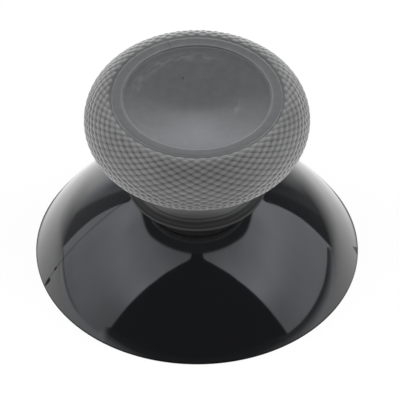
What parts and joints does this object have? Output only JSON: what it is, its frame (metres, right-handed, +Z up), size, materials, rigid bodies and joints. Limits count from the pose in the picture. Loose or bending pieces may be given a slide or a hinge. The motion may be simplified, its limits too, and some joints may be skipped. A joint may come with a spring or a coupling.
{
  "type": "thumbstick cap",
  "caption": "Game controller thumbstick cap: a hard glossy domed skirt with a flatted lever socket under it, and a soft grey grip with a dished, knurled head.",
  "frame": {"origin": "centre of the skirt's rim, in the plane that the cap stands on", "axes": "+Z up along the cap's axis, from the rim to the thumb face; +X along the socket's two flats"},
  "size_m": [0.025, 0.025, 0.0166],
  "materials": {
    "gloss_black": "polished black hard plastic",
    "soft_grey": "matt grey soft plastic with a knurled band"
  },
  "bodies": {
    "root": {"skirt_base": "gloss_black", "knurled_grip": "soft_grey"}
  },
  "joints": []
}
